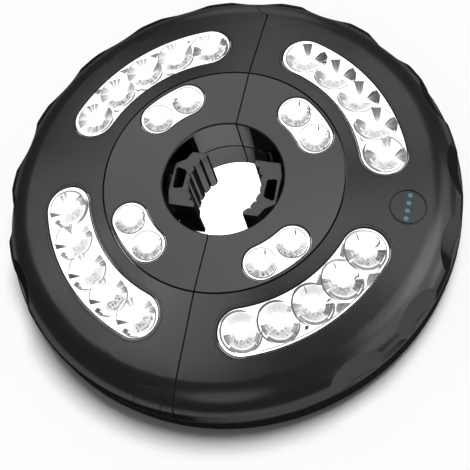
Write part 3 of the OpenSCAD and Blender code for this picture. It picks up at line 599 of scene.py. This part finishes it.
def draw_lower_right(o):
    for lamp, (left, right) in {4: (142, 108), 3: (152, 112), 2: (176, 112)}.items():
        o.sector(lamp, 1.0, 0.56, 236, 273, left, left * 1.3, columns=9, streak=0.18)
        o.sector(lamp, 1.01, 0.6, 82, 130, right, right * 1.2, columns=11, streak=0.16)
        o.sector(lamp, 0.99, 0.72, 197, 230, 142, 180, columns=8)
        o.sector(lamp, 1.0, 0.86, 132, 197, 132, 158, columns=10, streak=0.1)
        o.line(lamp, [(-0.4, 0.92), (-0.34, 0.72), (-0.28, 0.54)], 0.075, 135)
    for lamp, low, high in ((1, 120, 150), (0, 128, 156)):
        o.sector(lamp, 1.01, 0.84, 127, 218, low, high, columns=12, streak=0.1)
        o.sector(lamp, 1.04, 0.72, 90, 126, low, 180, columns=9, streak=0.16)
        o.sector(lamp, 0.92, 0.58, 224, 260, 122, 182, columns=8, streak=0.2)
    for lamp in range(5):
        o.crescent(lamp, 0.35, 0.86, 100, 262, 205)
        o.arc(lamp, 0.62, 0.07, 110, 238, 172, middle=(0.02, -0.06))
        o.arc(lamp, 0.8, 0.065, 118, 232, 252, middle=(0.02, -0.02), lift=0.28)
        o.arc(lamp, 1.05, 0.09, 195, 305, 120, end_tone=100)
        o.arc(lamp, 1.04, 0.08, 80, 150, 130)
        o.speckle(lamp, 26, 0.4, 0.66, 120, 245, 130, 215, size=0.06)
        o.speckle(lamp, 12, 0.6, 0.98, 85, 270, 110, 190, size=0.05)
    for lamp, dark in ((0, 100), (1, 74), (2, 78), (3, 150), (4, 160)):
        o.arc(lamp, 1.07, 0.11, 283, 380, dark, end_tone=dark + 50)
    for lamp in (0, 1, 2):
        o.crescent(lamp, 0.5, 1.0, 300, 400, 226, streak=0.15)
    o.line(4, [(0.48, 0.22), (0.6, 0.3), (0.72, 0.48), (0.72, 0.62)], 0.09, 120)
    o.line(4, [(0.72, 0.62), (0.62, 0.72), (0.56, 0.8)], 0.06, 160)
    o.line(3, [(0.56, 0.08), (0.66, 0.2), (0.78, 0.26), (0.8, 0.42)], 0.09, 120)
    o.line(2, [(0.68, 0.18), (0.78, 0.28), (0.88, 0.34)], 0.1, 88)
    o.strip(4, [(-1.28, -0.32, -1.06, -0.42, 128), (-1.2, 0.0, -1.08, -0.04, 150),
                (-1.12, 0.34, -1.08, 0.34, 205)])
    o.strip(4, [(-1.44, -0.62, -1.0, -0.6, 120), (-1.36, -0.46, -1.04, -0.46, 128)])
    o.strip(3, [(-1.34, -0.3, -1.06, -0.3, 132), (-1.22, 0.0, -1.07, -0.04, 150),
                (-1.12, 0.3, -1.08, 0.28, 210)])
    o.strip(2, [(-1.32, -0.4, -1.08, -0.4, 185), (-1.2, -0.1, -1.08, -0.1, 210)])
    o.strip(4, [(0.14, -1.16, 0.78, -1.06, 128), (0.04, -1.36, 0.62, -1.3, 136),
                (-0.02, -1.6, 0.3, -1.56, 150), (-0.02, -1.78, 0.08, -1.8, 175)], streak=0.16)
    o.strip(3, [(-0.3, -1.16, 0.36, -1.1, 132), (-0.38, -1.34, 0.16, -1.32, 142),
                (-0.4, -1.5, -0.06, -1.52, 155), (-0.38, -1.62, -0.26, -1.64, 190)], streak=0.16)
    o.speckle(2, 3, 1.18, 1.2, 196, 200, 70, 100, size=0.1)
    o.outline(o.kind["open"] - 1.5, 0.32, 120, start=0.82, end=1)
    o.outline(o.kind["open"] - 1.5, 0.32, 120, start=0, end=0.3)


def draw_upper_left(o):
    for lamp, (top, side, right) in {4: (138, 160, 140), 3: (158, 165, 170), 2: (162, 168, 122),
                                     1: (192, 186, 158), 0: (205, None, None)}.items():
        for k in range(3):
            start = -38 + 15 * k
            o.sector(lamp, 0.99, 0.4, start, start + 12, top + 14 * k, 248, columns=5, streak=0.16)
        if side:
            o.sector(lamp, 0.99, 0.5, 236, 268, side, 246, columns=8, streak=0.12)
            o.sector(lamp, 1.0, 0.56, 270, 300, side + 18, 248, columns=7, streak=0.12)
            o.strip(lamp, [(0.68, 0.66, 0.86, 0.56, right + 10), (0.6, 0.36, 0.98, 0.24, right + 15),
                           (0.5, 0.12, 0.97, 0.0, right + 45), (0.45, -0.04, 0.95, -0.14, 240)], streak=0.16)
        o.crescent(lamp, 0.55, 1.0, 85, 225, 190, streak=0.6)
        o.arc(lamp, 1.03, 0.09, 90, 165, 105, end_tone=160)
        o.arc(lamp, 1.02, 0.06, 225, 335, 170)
        o.speckle(lamp, 34, 0.6, 1.0, 92, 215, 120, 215, size=0.075)
    o.strip(0, [(-0.84, 0.12, -0.88, -0.6, 118), (-0.6, 0.06, -0.64, -0.6, 142),
                (-0.34, -0.1, -0.42, -0.52, 205)], columns=7, streak=0.12)
    o.strip(0, [(0.76, 0.72, 1.08, 0.34, 104), (0.68, 0.46, 0.94, 0.06, 122),
                (0.58, 0.24, 0.66, 0.1, 205)], streak=0.12)
    o.arc(0, 1.06, 0.13, 76, 130, 92)
    o.speckle(0, 14, 0.8, 0.98, 130, 200, 70, 140, size=0.06)
    o.strip(1, [(0.76, 0.8, 0.86, 0.76, 142), (0.64, 0.45, 0.94, 0.42, 150),
                (0.54, 0.12, 0.94, 0.1, 172)], streak=0.14)
    for lamp in (1, 2, 3):
        o.strip(lamp, [(-1.55, 0.2, -1.0, 0.42, 134), (-1.32, 0.1, -1.04, 0.18, 150),
                       (-1.2, 0.0, -1.14, 0.0, 190)], streak=0.16)
    o.strip(0, [(-1.28, 0.54, -1.06, 0.56, 118), (-1.2, 0.4, -1.12, 0.4, 150)])
    for lamp in (1, 2, 3):
        o.line(lamp, [(-0.5, -1.18), (-0.3, -1.3), (-0.12, -1.22), (0.1, -1.28), (0.2, -1.18)], 0.1, 130)
    o.outline(o.kind["open"] - 1.5, 0.3, 190, start=0.2, end=0.5)


def draw_lower_left(o):
    tones = {0: (112, 120, 122), 1: (84, 150, 140), 2: (76, 130, 112), 3: (86, 100, 88), 4: (98, 130, 108)}
    for lamp, (wedge, right, leaf) in tones.items():
        o.strip(lamp, [(-1.08, -0.2, -0.98, -0.5, wedge), (-0.88, -0.24, -0.82, -0.47, wedge * 1.03),
                       (-0.62, -0.29, -0.6, -0.44, wedge * 1.35), (-0.28, -0.36, -0.28, -0.4, 245)],
                streak=0.14)
        o.sector(lamp, 1.01, 0.7, 64, 86, right, 225, columns=7, streak=0.22)
        o.sector(lamp, 1.0, 0.55, 42, 62, right + 45, 245, columns=6, streak=0.18)
        o.sector(lamp, 1.12, 0.9, 207, 222, leaf + 20, leaf, columns=5, streak=0.1)
        o.sector(lamp, 1.08, 0.98, 196, 208, leaf + 40, leaf + 20, columns=4, streak=0.1)
        o.arc(lamp, 1.12, 0.08, 170, 210, leaf + 50, end_tone=leaf + 20)
        o.arc(lamp, 0.88, 0.06, 198, 222, leaf + 60, end_tone=leaf + 20)
        o.arc(lamp, 1.04, 0.08, 66, 150, 130, end_tone=190)
        o.arc(lamp, 1.03, 0.06, 252, 335, 175)
        o.sector(lamp, 0.9, 0.45, -40, -27, 180, 248, columns=4, streak=0.18)
        o.sector(lamp, 0.93, 0.5, -22, -10, 195, 248, columns=4, streak=0.18)
        o.crescent(lamp, 0.4, 0.95, 85, 200, 226, streak=0.4)
        o.speckle(lamp, 14, 0.4, 0.85, 100, 190, 180, 228, size=0.06)
    o.sector(0, 0.99, 0.68, 46, 68, 104, 190, columns=8, streak=0.3)
    o.arc(0, 1.12, 0.11, 64, 152, 96, end_tone=160)
    o.arc(0, 0.98, 0.08, -44, 60, 165, end_tone=125)
    o.line(1, [(-0.42, 0.72), (-0.25, 0.5), (-0.1, 0.28)], 0.1, 148)
    o.line(1, [(-0.6, 0.58), (-0.3, 0.68), (-0.1, 0.62)], 0.09, 165)
    for lamp in (3, 4):
        o.speckle(lamp, 26, 0.42, 0.86, 95, 178, 115, 205, size=0.075)
        o.arc(lamp, 0.72, 0.07, 85, 165, 170, middle=(0.05, -0.1))


def draw_small(o, tick, squiggle, dark_from, dark_to):
    for lamp in range(2):
        o.crescent(lamp, 0.5, 1.0, 85, 275, 186, streak=0.7)
        o.arc(lamp, 1.0, 0.09, 92, 265, 135)
        o.arc(lamp, 1.0, 0.07, 265, 452, 190)
        o.speckle(lamp, 40, 0.62, 0.94, 100, 262, 140, 222, size=0.07)
        o.speckle(lamp, 18, 0.7, 0.97, dark_from, dark_to, 60, 150, size=0.07)
        if tick:
            o.line(lamp, [(0.24, 0.88), (0.25, 0.7), (0.22, 0.48)], 0.09, 95)
        if squiggle:
            o.line(lamp, [(0.74, 0.3), (0.84, 0.5), (0.92, 0.3), (0.88, 0.05), (0.95, -0.15)], 0.1, 120)
    # A dark band along the opening's edge: painted shade.
    o.outline(o.kind["open"] - 0.35, 0.5, 22)


DRAW_LARGE = {"upper_right": draw_upper_right, "lower_right": draw_lower_right,
              "upper_left": draw_upper_left, "lower_left": draw_lower_left}
DRAW_SMALL = {"upper_right": (True, True, 70, 150), "lower_right": (True, False, 150, 240),
              "upper_left": (False, False, 215, 285), "lower_left": (False, True, 180, 250)}


def raised_line(name, path, offset, radius, sink, body):
    """A fine raised line on the face, beside a path of points and outward directions that runs clockwise."""
    shape = bmesh.new()
    rings = []
    for (x, y), (nx, ny) in path:
        ring = []
        for k in range(LINE_SIDES):
            a = math.tau * k / LINE_SIDES
            d = offset + radius * math.cos(a)
            px, py = x + nx * d, y + ny * d
            z = face_z(math.hypot(px, py)) - sink + radius * math.sin(a)
            ring.append(shape.verts.new(Vector((px, py, z)) * MM))
        rings.append(ring)
    for ring, after in zip(rings, rings[1:] + rings[:1]):
        for k in range(LINE_SIDES):
            j = (k + 1) % LINE_SIDES
            shape.faces.new((ring[k], after[k], after[j], ring[j])).smooth = True
    add_piece(name, mesh_of(name, shape), TRIM, body)


def circle_path(middle, steps):
    """A circle's middle and the outward directions all the way round, clockwise."""
    angles = [-math.tau * k / steps for k in range(steps)]
    return [(middle, (math.cos(a), math.sin(a))) for a in angles]


for seed, (where, turn) in enumerate(TURNS.items()):
    body = "right_half" if "right" in where else "left_half"
    large = Optics("large_lens_" + where, LARGE, turn, 10 + seed)
    DRAW_LARGE[where](large)
    # A dark band along the opening's edge: painted shade.
    large.outline(LARGE["open"] - 0.35, 0.52, 22)
    large.build(body)
    raised_line("window_trim_" + where, window_path(LARGE, turn), TRIM_OFFSET, TRIM_THICK, TRIM_SINK, body)
    small = Optics("small_lens_" + where, SMALL, turn, 20 + seed)
    draw_small(small, *DRAW_SMALL[where])
    if where == "upper_left":
        small.sector(0, 0.98, 0.6, 232, 262, 150, 215, columns=6)
        small.line(0, [(-0.85, 0.15), (-0.75, -0.1), (-0.9, -0.3)], 0.06, 130)
    small.build(body)

button_path = circle_path(POWER_BUTTON, BUTTON_RING_STEPS)
raised_line("button_ring", button_path, BUTTON_RING_R, BUTTON_RING_THICK, BUTTON_RING_SINK, "right_half")


# ---------- the seam's seal ----------

LEFT_TOPS = [surface(part) for part in ("front_shell_left", "hub_panel_left")]


def top_z(y):
    """Height of the left half's top at the seam, in millimetres."""
    start = Vector((SEAL_X[0] - 0.2, y, RAYS_FROM_Z)) * MM
    hits = [top.ray_cast(start, Vector((0, 0, -1)))[0] for top in LEFT_TOPS]
    return max(hit.z for hit in hits if hit) / MM


def seal_path(start, end, rim_leg):
    """Outer and inner (y, z) points along the seal. With rim_leg it starts upright in the rim."""
    path = []
    steps = range(SEAL_STEPS + 1)
    if rim_leg:
        top = top_z(start)
        path.append(((start, SEAL_FOOT), (start + SEAL_WIDTH, SEAL_FOOT)))
        path.append(((start, top - SEAL_LEG_DROP[0]), (start + SEAL_WIDTH, top - SEAL_LEG_DROP[1])))
        steps = steps[1:]
    for k in steps:
        y = start + (end - start) * k / SEAL_STEPS
        outer = top_z(y) - SEAL_DEEP
        path.append(((y, outer), (y, outer - SEAL_WIDTH)))
    return path


def make_seam_seal(name, start, end, rim_leg):
    """A dark seal on the left half's cut face, so that no light passes through the seam."""
    shape = bmesh.new()
    rings = []
    for outer, inner in seal_path(start, end, rim_leg):
        corners = ((SEAL_X[0], outer), (SEAL_X[1], outer), (SEAL_X[1], inner), (SEAL_X[0], inner))
        rings.append([shape.verts.new(Vector((x, y, z)) * MM) for x, (y, z) in corners])
    for ring, after in zip(rings, rings[1:]):
        for k in range(4):
            shape.faces.new((ring[k], ring[k - 3], after[k - 3], after[k]))
    shape.faces.new(rings[0][::-1])
    shape.faces.new(rings[-1])
    bmesh.ops.recalc_face_normals(shape, faces=shape.faces)
    add_piece(name, mesh_of(name, shape), PORT, "left_half")


make_seam_seal("seam_seal_front", -101.1, -27.5, True)
make_seam_seal("seam_seal_back", 27.5, 87, False)


# ---------- light, world and floor ----------

FLOOR_HALF = 9
STUDIO = 1.2
MIDDLE = Vector((0, 0, 0.03))
# The share of the white world that glossy rays see, and how strong the world is for all light on the object
GLOSS_WHITE = 0.06
DIM_WORLD = 0.04
# Banks of soft lamps: degrees up, directions in degrees from +X towards +Y, watts of each lamp
BANKS = {
    "overhead": (75, (90, 180), 1.3),
    "high_right": (60, (0, 40), 1),
    "high_left": (60, (108, 144, 180), 0.9),
    "key": (45, (15,), 2),
    "middle": (45, (75, 105, 135, 165, 345), 0.8),
    "front": (45, (270,), 0.8),
    "right": (30, (330, 0, 30), 0.9),
    "low": (16, (345, 15, 105), 0.7),
    "foot": (5, (5,), 1.3),
}


def add_lamp(name, kind, place, way, receivers, **values):
    """A lamp at a place that shines against a direction, on the receivers only."""
    data = bpy.data.lights.new(name, kind)
    for key, value in values.items():
        setattr(data, key, value)
    lamp = bpy.data.objects.new(name, data)
    scene.collection.objects.link(lamp)
    turn = way.to_track_quat("Z", "Y").to_matrix().to_4x4()
    lamp.matrix_world = Matrix.Translation(place) @ turn
    lamp.light_linking.receiver_collection = receivers


def background(tree, strength):
    node = tree.nodes.new("ShaderNodeBackground")
    node.inputs["Color"].default_value = (1, 1, 1, 1)
    node.inputs["Strength"].default_value = strength
    return node.outputs[0]


def make_world():
    """White for the camera and for transmission. All other rays see a dim room, glossy ones a little more."""
    world = bpy.data.worlds.new("world")
    world.use_nodes = True
    tree = world.node_tree
    tree.nodes.clear()
    add, link = tree.nodes.new, tree.links.new
    path = add("ShaderNodeLightPath")
    seen = add("ShaderNodeMath")
    seen.operation = "MAXIMUM"
    link(path.outputs["Is Camera Ray"], seen.inputs[0])
    link(path.outputs["Is Transmission Ray"], seen.inputs[1])
    share = add("ShaderNodeMath")
    share.operation = "MULTIPLY_ADD"
    share.inputs[1].default_value = GLOSS_WHITE
    link(path.outputs["Is Glossy Ray"], share.inputs[0])
    link(seen.outputs[0], share.inputs[2])
    mix = add("ShaderNodeMixShader")
    link(share.outputs[0], mix.inputs[0])
    link(background(tree, DIM_WORLD), mix.inputs[1])
    link(background(tree, 1), mix.inputs[2])
    link(mix.outputs[0], add("ShaderNodeOutputWorld").inputs[0])
    scene.world = world


def make_floor():
    mesh = bpy.data.meshes.new("floor")
    corners = [(-FLOOR_HALF, -FLOOR_HALF, 0), (FLOOR_HALF, -FLOOR_HALF, 0),
               (FLOOR_HALF, FLOOR_HALF, 0), (-FLOOR_HALF, FLOOR_HALF, 0)]
    mesh.from_pydata(corners, [], [(0, 1, 2, 3)])
    floor = bpy.data.objects.new("floor", mesh)
    scene.collection.objects.link(floor)
    s = Shade("floor")
    shader = s.add("ShaderNodeBsdfDiffuse")
    shader.inputs["Color"].default_value = (0.95, 0.95, 0.95, 1)
    s.link(shader.outputs[0], s.output.inputs[0])
    floor.data.materials.append(s.material)
    return floor


def light_object(receivers):
    for bank, (height, directions, power) in BANKS.items():
        for azimuth in directions:
            a, e = math.radians(azimuth), math.radians(height)
            way = Vector((math.cos(a) * math.cos(e), math.sin(a) * math.cos(e), math.sin(e)))
            add_lamp("%s_%d" % (bank, azimuth), "AREA", MIDDLE + way * STUDIO, way, receivers,
                     shape="DISK", size=0.5, energy=power)


def light_floor(receivers):
    """A soft sun throws the shadow, a wide one fills it, and a spot lights the floor in the pole hole."""
    origin = Vector((0, 0, 0))
    add_lamp("floor_light", "SUN", origin, Vector((0.15, 0.3, 1.1)), receivers,
             angle=math.radians(27), energy=2.93)
    add_lamp("floor_fill", "SUN", origin, Vector((0, 0, 1)), receivers, angle=math.radians(130), energy=0.34)
    place = CAMERA * 1.1
    add_lamp("hole_lamp", "SPOT", place, place - Vector((0, 0, 0.02)), receivers, energy=26,
             spot_size=math.radians(9), spot_blend=0.4, shadow_soft_size=0.02)


make_world()
floor = make_floor()
only_floor = bpy.data.collections.new("only_floor")
only_floor.objects.link(floor)
all_but_floor = bpy.data.collections.new("all_but_floor")
all_but_floor.objects.link(floor)
all_but_floor.collection_objects[0].light_linking.link_state = "EXCLUDE"
light_object(all_but_floor)
light_floor(only_floor)

scene.view_settings.view_transform = "Standard"
